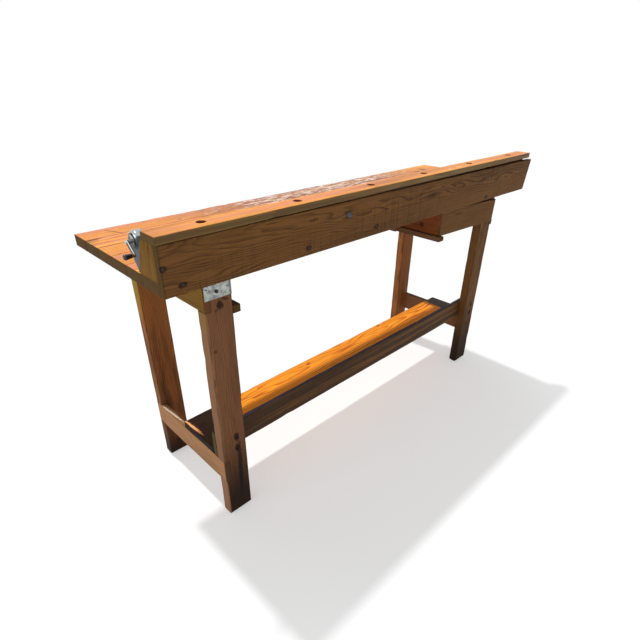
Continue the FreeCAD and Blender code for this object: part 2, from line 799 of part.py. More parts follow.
def make_cup():
    cup = rod(cup_radius, cup_x, cup_end_x)
    rim = [edge for edge in cup.Edges
           if edge.BoundBox.XMin > cup_end_x - cup_wall]
    cup = cup.makeFillet(2 * cup_wall, rim)
    cup = cup.cut(rod(cup_bore_radius, cup_x - cut_over, cup_end_x - cup_wall))
    cup = cup.cut(rod(cup_hole_radius, cup_end_x - 2 * cup_wall, cup_end_x + cut_over))
    dial_centre = axis_point - FreeCAD.Vector(0, 0, dial_hole_circle)
    rivet = rod(dial_rivet_radius, cup_end_x - cup_wall / 2,
                dial_x + dial_thickness + dial_gap, dial_centre)
    head_x = dial_x + dial_thickness + dial_gap
    head = rod(rivet_head_radius, head_x, head_x + rivet_head_height, dial_centre)
    cup = cup.cut(rod(dial_rivet_radius, cup_end_x - cup_wall / 2, cup_end_x + cut_over,
                      dial_centre))
    save("sharpener_receptacle", cup)
    save("sharpener_dial_rivet", rivet.fuse(head))
    dial = rod(dial_radius, dial_x, dial_x + dial_thickness, dial_centre)
    dial = dial.cut(rod(dial_rivet_radius + running_play, dial_x - cut_over,
                        dial_x + dial_thickness + cut_over, dial_centre))
    for number in range(dial_hole_count):
        angle = 2 * math.pi * number / dial_hole_count + math.pi / 2
        centre = dial_centre + FreeCAD.Vector(0, dial_hole_circle * math.cos(angle),
                                              dial_hole_circle * math.sin(angle))
        radius = (dial_hole_smallest + (dial_hole_count - 1 - number) * dial_hole_step) / 2
        dial = dial.cut(rod(radius, dial_x - cut_over, dial_x + dial_thickness + cut_over,
                            centre))
    save("sharpener_size_dial", dial)


def make_crank():
    lean = math.radians(arm_lean_deg)
    reach = FreeCAD.Vector(0, -math.sin(lean), -math.cos(lean))
    knob_centre = axis_point + reach * arm_length
    half = arm_width / 2
    across = FreeCAD.Vector(0, math.cos(lean), -math.sin(lean)) * half
    hub = FreeCAD.Vector(arm_left_x, axis_point.y, axis_point.z)
    tip = hub + reach * arm_length
    arm = plate([hub - across, hub + across, tip + across, tip - across],
                along * arm_thickness)
    arm = arm.fuse(rod(half, arm_left_x, arm_right_x))
    arm = arm.fuse(rod(half, arm_left_x, arm_right_x, knob_centre)).removeSplitter()
    arm = arm.cut(rod(shaft_radius, arm_left_x - cut_over, arm_right_x + cut_over))
    arm = arm.cut(rod(knob_pin_radius, arm_left_x - cut_over, arm_right_x + cut_over,
                      knob_centre))
    save("crank_arm", arm)
    save("crank_shaft", rod(shaft_radius, arm_left_x, carrier_x + carrier_disc))
    nut_start = FreeCAD.Vector(arm_left_x - nut_height, axis_point.y, axis_point.z)
    corners = [nut_start + FreeCAD.Vector(0, nut_radius * math.cos(math.pi * k / 3),
                                          nut_radius * math.sin(math.pi * k / 3))
               for k in range(6)]
    save("crank_nut", plate(corners, along * nut_height))

    knob_left_x = knob_right_x - knob_length
    bore_end_x = knob_right_x - knob_bore_depth
    save("knob_pin", rod(knob_pin_radius, bore_end_x + knob_gap, arm_right_x, knob_centre))
    start = FreeCAD.Vector(knob_right_x, knob_centre.y, knob_centre.z)
    knob = Part.makeCone(knob_neck_radius, knob_end_radius, knob_length, start, along * -1)
    crown = [edge for edge in knob.Edges if edge.BoundBox.XMax < knob_left_x + knob_round]
    knob = knob.makeFillet(knob_round, crown)
    knob = knob.cut(rod(knob_pin_radius + running_play, bore_end_x,
                        knob_right_x + cut_over, knob_centre))
    save("crank_knob", knob)


os.makedirs("parts", exist_ok=True)
make_trestles()
make_tabletop()
make_beam()
make_bracket()
make_drawer()
make_runners()
make_sharpener_frame()
make_cutters()
make_carrier()
make_cup()
make_crank()
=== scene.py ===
"""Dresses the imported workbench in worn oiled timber, galvanised sheet and bright metal."""

import math

import bmesh
import bpy
from bpy.props import FloatProperty, FloatVectorProperty, PointerProperty
from bpy.types import Operator, Panel, PropertyGroup
from mathutils import Euler, Matrix, Vector, noise


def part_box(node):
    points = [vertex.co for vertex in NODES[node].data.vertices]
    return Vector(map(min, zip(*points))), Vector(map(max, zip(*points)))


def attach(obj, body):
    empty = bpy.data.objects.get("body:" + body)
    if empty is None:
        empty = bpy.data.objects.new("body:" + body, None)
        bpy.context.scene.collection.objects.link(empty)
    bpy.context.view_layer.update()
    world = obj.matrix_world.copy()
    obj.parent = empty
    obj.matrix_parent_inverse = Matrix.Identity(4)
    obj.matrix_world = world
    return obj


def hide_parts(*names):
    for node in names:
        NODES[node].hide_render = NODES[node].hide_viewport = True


bl_info = {
    "name": "Workbench Dresser",
    "version": (1, 0, 0),
    "blender": (4, 5, 0),
    "location": "View3D > Sidebar > Workbench",
    "description": "Worn timber, galvanised sheet and bright metal for a carpenter's bench",
    "category": "Object",
}

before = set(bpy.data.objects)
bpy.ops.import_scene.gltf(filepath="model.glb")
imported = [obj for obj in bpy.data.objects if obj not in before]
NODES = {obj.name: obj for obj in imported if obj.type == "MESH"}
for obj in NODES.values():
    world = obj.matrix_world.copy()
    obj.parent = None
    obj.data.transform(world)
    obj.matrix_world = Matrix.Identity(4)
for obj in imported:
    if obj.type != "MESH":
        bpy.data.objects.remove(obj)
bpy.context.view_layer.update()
MM = 0.001

# Places are written as on the bench: millimetres from the apron's left end, from its
# front face and from the floor.
APRON_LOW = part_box("front_apron")[0]


def at(x, y, z):
    """A point of the bench, given in its own millimetres."""
    return Vector((APRON_LOW.x + x * MM, APRON_LOW.y + y * MM, z * MM))


def corners(cad):
    """A node's lowest and highest corner, in the bench's own millimetres."""
    return [(corner - at(0, 0, 0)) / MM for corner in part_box(cad)]


STRIP_LOW, STRIP_HIGH = corners("beam_top_strip")
RAIL_LOW, RAIL_HIGH = corners("lower_rail_left")
LEG_LOW = corners("front_left_leg")[0]
LEG_PITCH = corners("front_right_leg")[0].x - LEG_LOW.x
TABLE_TOP = corners("tabletop_board_1")[1].z
SHELF_TOP = corners("shelf_board")[1].z
NAILS = [(6, 977), (48, 929), (438, 926), (728, 929), (1421, 913)]  # x and z on the apron
DOG_SHARES = (0.077, 0.246, 0.418, 0.576, 0.745, 0.921)             # of the strip's length
DOG_ROW = 34


def paint(code):
    """An sRGB hex colour as linear RGBA."""
    values = [int(code[place:place + 2], 16) / 255 for place in (1, 3, 5)]
    linear = [v / 12.92 if v <= 0.04045 else ((v + 0.055) / 1.055) ** 2.4 for v in values]
    return (*linear, 1.0)


# Settings


def shade(name, description, code):
    """A colour that the user can change."""
    return FloatVectorProperty(name=name, description=description, subtype="COLOR",
                               size=4, min=0.0, max=1.0, default=paint(code))


class WorkbenchSizes(PropertyGroup):
    slice_length: FloatProperty(
        name="Slice length", description="Distance between cuts, which let an edge wear unevenly",
        default=0.03, min=0.01, max=0.2, unit="LENGTH")
    rubbing: FloatProperty(
        name="Edge rubbing", description="How far the timber's edges are rubbed back at most",
        default=0.0006, min=0.0, max=0.004, unit="LENGTH")
    nick: FloatProperty(
        name="Nick depth", description="Depth of the deeper nicks in the timber's edges",
        default=0.0012, min=0.0, max=0.006, unit="LENGTH")


class WorkbenchColours(PropertyGroup):
    top_pale: shade("Top, pale", "Early wood of the varnished top", "#F2A448")
    top_dark: shade("Top, dark", "Late wood of the varnished top", "#B4521C")
    top_pink: shade("Top, pink", "Pinkish streaks in the top", "#D98763")
    top_soil: shade("Top, soil", "Dirt in the top's pores and joints", "#5E3016")
    front_pale: shade("Front, pale", "Early wood of the stained fronts", "#704B25")
    front_dark: shade("Front, dark", "Late wood of the stained fronts", "#2C1B0C")
    front_soil: shade("Front, soil", "Dirt on the stained fronts", "#1F140B")
    front_rubbed: shade("Front, rubbed", "Timber rubbed bare on edges", "#8C7048")
    side_pale: shade("Sides, pale", "Sides of the top's boards, bare of varnish", "#745B2E")
    side_dark: shade("Sides, dark", "Late wood on the sides of the top's boards", "#544020")
    # Painted shade: the stretcher's upper face grey and purple, as in the tabletop's shadow under
    # the sky
    stretcher_top_shade: shade("Weathered edge", "Top edge of the stretcher, weathered grey", "#584A50")
    board_end: shade("Board ends", "Sawn ends of the top's boards, black with dirt", "#3E2E06")
    end_grain: shade("End grain", "Sawn ends, which drink in stain and dirt", "#4C3C18")
    leg_pale: shade("Legs, pale", "Early wood of the legs and rails", "#7C5337")
    leg_dark: shade("Legs, dark", "Late wood of the legs and rails", "#4E301C")
    rear_pale: shade("Rear legs, pale", "Early wood of the redder rear legs", "#945B2E")
    rear_dark: shade("Rear legs, dark", "Late wood of the redder rear legs", "#522F1A")
    rail_pale: shade("Left rail, pale", "Early wood of the lighter left lower rail", "#A4764E")
    rail_dark: shade("Left rail, dark", "Late wood of the lighter left lower rail", "#684530")
    # Painted light: the ochre stands in for yellow light on faces that look left
    ochre_pale: shade("Ochre, pale", "Early wood of the yellow brown pieces", "#7F5812")
    ochre_dark: shade("Ochre, dark", "Late wood of the yellow brown pieces", "#4E3608")
    shelf_pale: shade("Shelf, pale", "Early wood of the shelf", "#FF9E28")
    shelf_dark: shade("Shelf, dark", "Late wood of the shelf", "#B4480A")
    box_pale: shade("Drawer, pale", "Early wood of the drawer's box", "#874519")
    box_dark: shade("Drawer, dark", "Late wood of the drawer's box", "#42200D")
    zinc: shade("Zinc", "Spangled zinc of the bracket", "#BCC0BB")
    casting: shade("Casting", "Grey finish of the sharpener's frame", "#2E3739")
    chrome: shade("Chrome", "Chromed and plated metal", "#D9DCDF")
    steel: shade("Steel", "Tarnished heads of the screws", "#4A4038")
    knob: shade("Knob", "Moulded handle of the crank", "#191413")


def sizes():
    return bpy.context.scene.workbench_sizes


def tone(name):
    return getattr(bpy.context.scene.workbench_colours, name)[:]


# Each wood's pale and dark growth, its dirt, and its edges where they are rubbed bare
TOP = ("side_pale", "side_dark", "top_soil", "top_pink")
FRONT = ("front_pale", "front_dark", "front_soil", "front_rubbed")
LEG = ("leg_pale", "leg_dark", "front_soil", "front_rubbed")
REAR = ("rear_pale", "rear_dark", "front_soil", "front_rubbed")
RAIL = ("rail_pale", "rail_dark", "front_soil", "front_rubbed")
# Painted light: pieces seen from the left take a yellow for the light bounced onto them
OCHRE = ("ochre_pale", "ochre_dark", "front_soil", "front_rubbed")
SHELF = ("shelf_pale", "shelf_dark", "top_soil", "rail_pale")
BOX = ("box_pale", "box_dark", "front_soil", "leg_pale")
# What lies on an upper face: its pale and dark growth, and the streaks between
VARNISH = ("top_pale", "top_dark", "top_pink")
# Painted shade: the stretcher's upper face takes a grey for the tabletop's shadow over it
SHADED_STRETCHER_TOP = ("stretcher_top_shade", "front_dark", "front_soil")


# Materials


SMOOTH = {"interpolation_type": "SMOOTHSTEP"}


def node(material, kind, inputs=None, **settings):
    """Adds a node; inputs maps a socket to a value or to the output that feeds it."""
    made = material.node_tree.nodes.new(kind)
    for key, value in settings.items():
        setattr(made, key, value)
    feed(material, made, inputs or {})
    return made


def feed(material, made, inputs):
    """Gives a node's sockets their values, or links them to the outputs that feed them. A
    node stands for its first output."""
    for key, value in inputs.items():
        if isinstance(value, bpy.types.Node):
            value = value.outputs[0]
        if isinstance(value, bpy.types.NodeSocket):
            material.node_tree.links.new(value, made.inputs[key])
        else:
            made.inputs[key].default_value = value


def blank(name):
    """A material with its shader and the object's own coordinates."""
    material = bpy.data.materials.new(name)
    material.use_nodes = True
    material.node_tree.nodes.clear()
    place = node(material, "ShaderNodeTexCoord").outputs["Object"]
    shader = node(material, "ShaderNodeBsdfPrincipled")
    node(material, "ShaderNodeOutputMaterial", {"Surface": shader.outputs["BSDF"]})
    return material, place, shader


def mark(centre, radii, code, strength, turn=(0, 0, 0), border=0.45):
    """One stain, knot or scratch: a stretched ball with its radii in millimetres and its
    turn in degrees. The border is the share of its radius over which it fades."""
    return centre, radii, turn, code, strength, border


def marked(material, place, colour, spot, ragged):
    """Lays a mark over a colour. Noise makes its border as ragged as it is wide."""
    centre, radii, turn, code, strength, border = spot
    fade_from = 1.05
    ball = node(material, "ShaderNodeMapping",
                {"Vector": place, "Location": centre,
                 "Rotation": [math.radians(a) for a in turn],
                 "Scale": [r * MM for r in radii]}, vector_type="TEXTURE")
    reach = node(material, "ShaderNodeVectorMath", {0: ball}, operation="LENGTH")
    rough = node(material, "ShaderNodeMath", {0: ragged, 1: 2 * border, 2: reach.outputs["Value"]},
                 operation="MULTIPLY_ADD")
    mask = node(material, "ShaderNodeMapRange",
                {0: rough, 1: fade_from, 2: fade_from + border, 3: strength, 4: 0.0}, **SMOOTH)
    mixed = node(material, "ShaderNodeMix", {0: mask, 6: colour, 7: paint(code)}, data_type="RGBA")
    return mixed.outputs[2]


# Widths of the timber's patterns, in millimetres
FIGURE = 111.1    # patches where the rings show more
STREAK = 22.22    # pinkish streaks under varnish
FIBRE = 1.25      # coarser than real fibres, so that they show
CLOUD = 71.43     # soiled clouds, a hand's breadth across
SAW_BAND = 7.692  # groups of saw marks
SPECK = 9.091     # chipping along edges and round marks
CHIP = 6.667      # flakes of varnish
# How much longer than wide they are along the grain
RING_STRETCH = 8.0
STRAND_STRETCH = 50.0
SAW_STRETCH = 35.0  # across it


class Timber:
    """A plain-sawn board's finish, laid on layer by layer. The trunk it was cut from gives
    its coordinates: the heart lies outside the board, and leans a little out of line."""

    def __init__(self, name, cad, tones, seed, heart_mm):
        self.material, self.place, self.shader = blank(name)
        self.pale, self.dark, self.soil, self.rubbed = (tone(t) for t in tones)
        low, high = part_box(cad)
        middle, self.half = (low + high) / 2, (high - low) / 2
        self.grain = max(range(3), key=lambda axis: self.half[axis])
        across = [axis for axis in range(3) if axis != self.grain]

        # The seed turns the heart round the board and shifts the board along the trunk
        heart_reach, tilt, shift = 58, 0.012, 1.7
        swing = seed * 2.399
        reach_mm = heart_mm or (math.cos(swing) * heart_reach, math.sin(swing) * heart_reach)
        heart = middle.copy()
        heart[across[0]] += reach_mm[0] * MM
        heart[across[1]] += reach_mm[1] * MM
        heart[self.grain] += shift * math.sin(seed * 1.37)
        lean = [0.0, 0.0, 0.0]
        lean[across[0]] = tilt * math.sin(seed * 3.1)
        lean[across[1]] = tilt * math.cos(seed * 1.9)
        material = self.material
        self.trunk = node(material, "ShaderNodeMapping",
                          {"Vector": self.place, "Location": heart, "Rotation": lean,
                           "Scale": self.stretch(RING_STRETCH, 1.0)}, vector_type="TEXTURE")
        self.strands = node(material, "ShaderNodeMapping",
                            {"Vector": self.place, "Location": heart,
                             "Scale": self.stretch(STRAND_STRETCH, 1.0)}, vector_type="TEXTURE")
        self.off = node(material, "ShaderNodeVectorMath", {0: self.place, 1: middle},
                        operation="SUBTRACT")
        self.height = node(material, "ShaderNodeSeparateXYZ", {0: self.off}).outputs[2]
        self.upper = node(material, "ShaderNodeMapRange",
                          {0: self.height, 1: self.half.z - 1.4 * MM, 2: self.half.z - 0.6 * MM})
        self.speck = node(material, "ShaderNodeTexNoise",
                          {"Vector": self.place, "Scale": 1 / (SPECK * MM), "Detail": 3.0})
        self.fibre = node(material, "ShaderNodeTexNoise",
                          {"Vector": self.strands, "Scale": 1 / (FIBRE * MM), "Detail": 2.0})
        self.cloud = node(material, "ShaderNodeTexNoise",
                          {"Vector": self.trunk, "Scale": 1 / (CLOUD * MM), "Detail": 4.0,
                           "Roughness": 0.6})

    def stretch(self, along, across):
        """Scales along the board's grain and across it."""
        scales = [across] * 3
        scales[self.grain] = along
        return scales

    def growth(self, ring_mm, contrast, flow, coat):
        """Growth rings, which the saw cuts into flames and ovals. A coat gives the upper
        face other colours, and streaks of a third."""
        material = self.material
        # Blender's ring wave repeats every 2 pi / 20 units
        ring_scale = 2 * math.pi / 20 / (ring_mm * MM)
        rings = node(material, "ShaderNodeTexWave",
                     {"Vector": self.trunk, "Scale": ring_scale, "Distortion": flow, "Detail": 2.0,
                      "Detail Scale": 0.3, "Detail Roughness": 0.4}, wave_type="RINGS",
                     rings_direction="XYZ"[self.grain], wave_profile="SAW")
        self.late = node(material, "ShaderNodeMapRange",
                         {0: rings.outputs["Fac"], 1: 0.42, 2: 1.0}, **SMOOTH)
        self.figure = node(material, "ShaderNodeTexNoise",
                           {"Vector": self.trunk, "Scale": 1 / (FIGURE * MM), "Detail": 3.0})
        firm = node(material, "ShaderNodeMapRange",
                    {0: self.figure, 1: 0.35, 2: 0.65, 3: contrast * 0.5, 4: contrast})
        flame = node(material, "ShaderNodeMath", {0: self.late, 1: firm}, operation="MULTIPLY")
        pale, dark = self.pale, self.dark
        if coat:
            pale, dark, streaked = (
                node(material, "ShaderNodeMix", {0: self.upper, 6: under, 7: tone(over)},
                     data_type="RGBA").outputs[2]
                for under, over in zip((pale, dark, dark), coat))
        colour = node(material, "ShaderNodeMix", {0: flame, 6: pale, 7: dark},
                      data_type="RGBA").outputs[2]
        if coat:
            wide = node(material, "ShaderNodeTexNoise",
                        {"Vector": self.strands, "Scale": 1 / (STREAK * MM), "Detail": 2.0})
            share = node(material, "ShaderNodeMapRange",
                         {0: wide, 1: 0.47, 2: 0.6, 3: 0.0, 4: 0.75}, **SMOOTH)
            colour = node(material, "ShaderNodeMix", {0: share, 6: colour, 7: streaked},
                          data_type="RGBA").outputs[2]
        return colour

    def soiled(self, colour, clouds):
        """Dirt between the fibres, and clouds of it over the face."""
        for pattern, start, end, most in ((self.fibre, 0.52, 0.74, 0.5),
                                          (self.cloud, 0.46, 0.72, clouds)):
            dirt = node(self.material, "ShaderNodeMapRange",
                        {0: pattern, 1: start, 2: end, 3: 0.0, 4: most}, **SMOOTH)
            colour = node(self.material, "ShaderNodeMix", {0: dirt, 6: colour, 7: self.soil},
                          data_type="RGBA").outputs[2]
        return colour

    def saw_marked(self, colour, strength):
        """Marks of the saw across the grain, where the figure is strong."""
        material = self.material
        cross = node(material, "ShaderNodeMapping",
                     {"Vector": self.place, "Scale": self.stretch(1.0, SAW_STRETCH)},
                     vector_type="TEXTURE")
        bands = node(material, "ShaderNodeTexNoise",
                     {"Vector": cross, "Scale": 1 / (SAW_BAND * MM), "Detail": 3.0,
                      "Roughness": 0.7})
        gate = node(material, "ShaderNodeMapRange",
                    {0: self.figure, 1: 0.42, 2: 0.6, 3: 0.15, 4: 1.0})
        cut = node(material, "ShaderNodeMapRange",
                   {0: bands, 1: 0.52, 2: 0.68, 3: 0.0, 4: strength})
        cut = node(material, "ShaderNodeMath", {0: cut, 1: gate}, operation="MULTIPLY")
        return node(material, "ShaderNodeMix", {0: cut, 6: colour, 7: self.soil},
                    data_type="RGBA").outputs[2]

    def edged(self, colour, grime, ends):
        """Dirt near the board's edges, bare wood on them, and sawn ends, which are darker
        and show the rings' arcs."""
        material = self.material
        flat = node(material, "ShaderNodeVectorMath", {0: self.off}, operation="ABSOLUTE")
        depth = node(material, "ShaderNodeVectorMath", {0: self.half, 1: flat},
                     operation="SUBTRACT")
        depths = node(material, "ShaderNodeSeparateXYZ", {0: depth}).outputs
        # Two of the three depths are small near an edge, so their least sum tells how near
        sums = [node(material, "ShaderNodeMath", {0: depths[a], 1: depths[b]},
                     operation="ADD") for a, b in ((0, 1), (1, 2), (0, 2))]
        nearest = node(material, "ShaderNodeMath", {0: sums[0], 1: sums[1]}, operation="MINIMUM")
        nearest = node(material, "ShaderNodeMath", {0: nearest, 1: sums[2]}, operation="MINIMUM")
        border = node(material, "ShaderNodeMath", {0: self.speck, 1: 6 * MM, 2: nearest},
                      operation="MULTIPLY_ADD")
        dirt = node(material, "ShaderNodeMapRange",
                    {0: border, 1: 3 * MM, 2: 8 * MM, 3: grime, 4: 0.0}, **SMOOTH)
        bare = node(material, "ShaderNodeMapRange",
                    {0: border, 1: 2.8 * MM, 2: 3.6 * MM, 3: 0.5, 4: 0.0})
        for share, over in ((dirt, self.soil), (bare, self.rubbed)):
            colour = node(material, "ShaderNodeMix", {0: share, 6: colour, 7: over},
                          data_type="RGBA").outputs[2]
        self.end = node(material, "ShaderNodeMapRange",
                        {0: depths[self.grain], 1: 0.8 * MM, 2: 1.6 * MM, 3: 0.85, 4: 0.0})
        arcs = node(material, "ShaderNodeMix", {0: self.late, 6: tone(ends), 7: self.soil},
                    data_type="RGBA").outputs[2]
        arcs = node(material, "ShaderNodeMix", {0: 0.45, 6: arcs, 7: tone(ends)},
                    data_type="RGBA").outputs[2]
        return node(material, "ShaderNodeMix", {0: self.end, 6: colour, 7: arcs},
                    data_type="RGBA").outputs[2]

    def shaded_foot(self, colour, reach):
        """Painted shade: the foot darker up to an uneven height above its end."""
        material = self.material
        wander = 0.22
        start = 0.16 - self.half.z
        level = node(material, "ShaderNodeMath", {0: self.cloud, 1: wander, 2: self.height},
                     operation="MULTIPLY_ADD")
        # The share of painted shade at the foot
        damp = node(material, "ShaderNodeMapRange",
                    {0: level, 1: start, 2: start + reach, 3: 0.95, 4: 0.0}, **SMOOTH)
        return node(material, "ShaderNodeMix", {0: damp, 6: colour, 7: self.soil},
                    data_type="RGBA").outputs[2]

    def scuffed(self, colour, centre, radii):
        """Varnish gone dull in a zone of the upper face, with dark cracks and white chips
        that the grain breaks up."""
        material = self.material
        most = 0.16
        zone = node(material, "ShaderNodeMapping",
                    {"Vector": self.place, "Location": centre,
                     "Scale": [r * MM for r in radii]}, vector_type="TEXTURE")
        reach = node(material, "ShaderNodeVectorMath", {0: zone}, operation="LENGTH")
        inside = node(material, "ShaderNodeMapRange",
                      {0: reach.outputs["Value"], 1: 0.5, 2: 1.0, 3: most, 4: 0.0})
        flakes = node(material, "ShaderNodeTexNoise",
                      {"Vector": self.trunk, "Scale": 1 / (CHIP * MM), "Detail": 5.0,
                       "Roughness": 0.7})
        level = node(material, "ShaderNodeMath", {0: flakes, 1: inside}, operation="ADD")
        chipped = node(material, "ShaderNodeMapRange",
                       {0: level, 1: 0.67, 2: 0.72, 3: 0.0, 4: 0.85})
        chipped = node(material, "ShaderNodeMath", {0: chipped, 1: self.upper},
                       operation="MULTIPLY")
        dull = node(material, "ShaderNodeMath", {0: inside, 1: self.upper}, operation="MULTIPLY")
        dull = node(material, "ShaderNodeMath", {0: dull, 1: 3.4}, operation="MULTIPLY")
        crack = node(material, "ShaderNodeMapRange", {0: flakes, 1: 0.41, 2: 0.48, 3: 1.0, 4: 0.0})
        crack = node(material, "ShaderNodeMath", {0: crack, 1: dull}, operation="MULTIPLY")
        for share, code in ((dull, "#6C4A44"), (crack, "#3E2A30"), (chipped, "#F1E4DA")):
            colour = node(material, "ShaderNodeMix", {0: share, 6: colour, 7: paint(code)},
                          data_type="RGBA").outputs[2]
        return colour

    def surface(self, colour, gloss, coated):
        """Latewood and fibres stand a little proud, and sawn ends are dull."""
        material = self.material
        relief = node(material, "ShaderNodeMath", {0: self.late, 1: 0.5, 2: self.fibre},
                      operation="MULTIPLY_ADD")
        dents = node(material, "ShaderNodeMath", {0: self.speck, 1: 0.6, 2: relief},
                     operation="MULTIPLY_ADD")
        bump = node(material, "ShaderNodeBump",
                    {"Strength": 0.5, "Distance": 0.6 * MM, "Height": dents})
        sheen = node(material, "ShaderNodeMapRange",
                     {0: self.fibre, 1: 0.3, 2: 0.75, 3: gloss, 4: min(gloss + 0.25, 1.0)})
        rough = node(material, "ShaderNodeMath", {0: self.end, 1: sheen}, operation="MAXIMUM")
        feed(material, self.shader, {
            "Base Color": colour, "Roughness": rough, "Normal": bump,
            "IOR": 1.5, "Specular IOR Level": 0.2 if coated else 0.1})


def softwood(name, cad, tones, seed, ring_mm=5.0, contrast=0.9, gloss=0.55, marks=(),
             coat=None, scuff=None, heart_mm=None, flow=24.0, clouds=0.4, foot=0.0,
             grime=0.55, sawn=0.0, ends="end_grain"):
    """Plain-sawn softwood under old oil or varnish, hand worn: long flames of latewood,
    fine streaks of fibres with dirt between them, darker ends with arcs of rings, and a
    low gloss that is uneven with use. A coat is what is left on the upper face."""
    wood = Timber(name, cad, tones, seed, heart_mm)
    colour = wood.soiled(wood.growth(ring_mm, contrast, flow, coat), clouds)
    if sawn:
        colour = wood.saw_marked(colour, sawn)
    colour = wood.edged(colour, grime, ends)
    if foot:
        colour = wood.shaded_foot(colour, foot)
    if scuff:
        colour = wood.scuffed(colour, *scuff)
    for spot in marks:
        colour = marked(wood.material, wood.place, colour, spot, wood.speck)
    wood.surface(colour, gloss, bool(coat))
    return wood.material


def metal(name, colour, metallic, low, high, grit_mm, tarnish="#3A342D", spread=0.35,
          bump_mm=0.3):
    """Plated, cast or moulded: fine grit in its gloss, and dull patches where hands and
    damp have been."""
    patch_mm = 11.111
    material, place, shader = blank(name)
    grit = node(material, "ShaderNodeTexNoise",
                {"Vector": place, "Scale": 1 / (grit_mm * MM), "Detail": 3.0})
    patch = node(material, "ShaderNodeTexNoise",
                 {"Vector": place, "Scale": 1 / (patch_mm * MM), "Detail": 4.0, "Roughness": 0.65})
    dull = node(material, "ShaderNodeMapRange", {0: patch, 1: 0.5, 2: 0.72, 3: 0.0, 4: spread},
                **SMOOTH)
    mixed = node(material, "ShaderNodeMix", {0: dull, 6: colour, 7: paint(tarnish)},
                 data_type="RGBA").outputs[2]
    rough = node(material, "ShaderNodeMapRange", {0: grit, 1: 0.3, 2: 0.7, 3: low, 4: high})
    bump = node(material, "ShaderNodeBump",
                {"Strength": 0.4, "Distance": bump_mm * MM, "Height": grit})
    feed(material, shader, {"Base Color": mixed, "Roughness": rough,
                            "Normal": bump, "Metallic": metallic})
    return material


def galvanised_sheet():
    """Hot dipped zinc on sheet steel: flat crystals some 6 mm wide, each with its own grey
    and gloss, and a dull bloom over them."""
    crystal_mm, bend_mm, bloom_mm = 6.0606, 6.25, 16.667
    material, place, shader = blank("galvanised_sheet")
    bent = node(material, "ShaderNodeTexNoise",
                {"Vector": place, "Scale": 1 / (bend_mm * MM), "Detail": 2.0}).outputs["Color"]
    shift = node(material, "ShaderNodeVectorMath", {0: bent, 1: (5 * MM,) * 3, 2: place},
                 operation="MULTIPLY_ADD")
    crystal = node(material, "ShaderNodeTexVoronoi",
                   {"Vector": shift, "Scale": 1 / (crystal_mm * MM)})
    grey = node(material, "ShaderNodeSeparateXYZ", {0: crystal.outputs["Color"]})
    light = node(material, "ShaderNodeMapRange", {0: grey, 3: 0.0, 4: 0.7})
    bloom = node(material, "ShaderNodeTexNoise",
                 {"Vector": place, "Scale": 1 / (bloom_mm * MM), "Detail": 5.0})
    stain = node(material, "ShaderNodeMapRange", {0: bloom, 1: 0.52, 2: 0.75, 3: 0.0, 4: 0.6},
                 **SMOOTH)
    colour = tone("zinc")
    for share, code in ((light, "#6E7472"), (stain, "#5A5147")):
        colour = node(material, "ShaderNodeMix", {0: share, 6: colour, 7: paint(code)},
                      data_type="RGBA").outputs[2]
    rough = node(material, "ShaderNodeMapRange", {0: grey, 3: 0.35, 4: 0.6})
    bump = node(material, "ShaderNodeBump",
                {"Strength": 0.3, "Distance": 0.3 * MM, "Height": crystal.outputs["Distance"]})
    feed(material, shader, {"Base Color": colour, "Roughness": rough,
                            "Normal": bump, "Metallic": 0.75})
    return material


# Shapes


def finished(name, bm, body, material):
    """Turns a bmesh into a piece that rides on its body, smooth between sharp edges."""
    sharp = math.radians(35)
    for face in bm.faces:
        face.smooth = True
    for edge in bm.edges:
        edge.smooth = edge.is_manifold and edge.calc_face_angle(0.0) < sharp
    mesh = bpy.data.meshes.new(name)
    bm.to_mesh(mesh)
    bm.free()
    piece = bpy.data.objects.new(name, mesh)
    bpy.context.scene.collection.objects.link(piece)
    mesh.materials.append(material)
    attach(piece, body)
    return piece


def rubbed_board(cad, material, seed):
    """A merged copy of a board, cut across at short steps, whose edges are rubbed back
    unevenly and nicked here and there."""
    weld, edge_band = 0.02 * MM, 3 * MM
    waves_per_metre, nick_waves = 9, 4.1
    low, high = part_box(cad)
    grain = max(range(3), key=lambda axis: high[axis] - low[axis])
    across = [axis for axis in range(3) if axis != grain]
    bm = bmesh.new()
    bm.from_mesh(NODES[cad].data)
    bmesh.ops.remove_doubles(bm, verts=bm.verts, dist=weld)
    normal = Vector((0, 0, 0))
    normal[grain] = 1
    cuts = round((high[grain] - low[grain]) / sizes().slice_length)
    for number in range(1, cuts):
        spot = low.lerp(high, number / cuts)
        bmesh.ops.bisect_plane(bm, geom=bm.verts[:] + bm.edges[:] + bm.faces[:],
                               dist=weld / 2, plane_co=spot, plane_no=normal)
    centre = (low + high) / 2
    for vert in bm.verts:
        inward = [min(vert.co[axis] - low[axis], high[axis] - vert.co[axis])
                  for axis in across]
        if sum(inward) > edge_band:
            continue
        sides = [math.copysign(1, centre[axis] - vert.co[axis]) for axis in across]
        # The seed and the side keep the wear of one edge apart from that of another
        key = Vector((vert.co[grain] * waves_per_metre, seed * 5.3 + sides[0],
                      sides[1] * 3.1))
        wear = sizes().rubbing * max(noise.noise(key) + 0.35, 0.0)
        dent = noise.noise(key * nick_waves) - 0.32
        wear += sizes().nick * max(dent, 0.0) * 3
        for axis, side in zip(across, sides):
            vert.co[axis] += side * wear
    bmesh.ops.recalc_face_normals(bm, faces=bm.faces)
    piece = finished("worn_" + cad, bm, "bench", material)
    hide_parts(cad)
    return piece


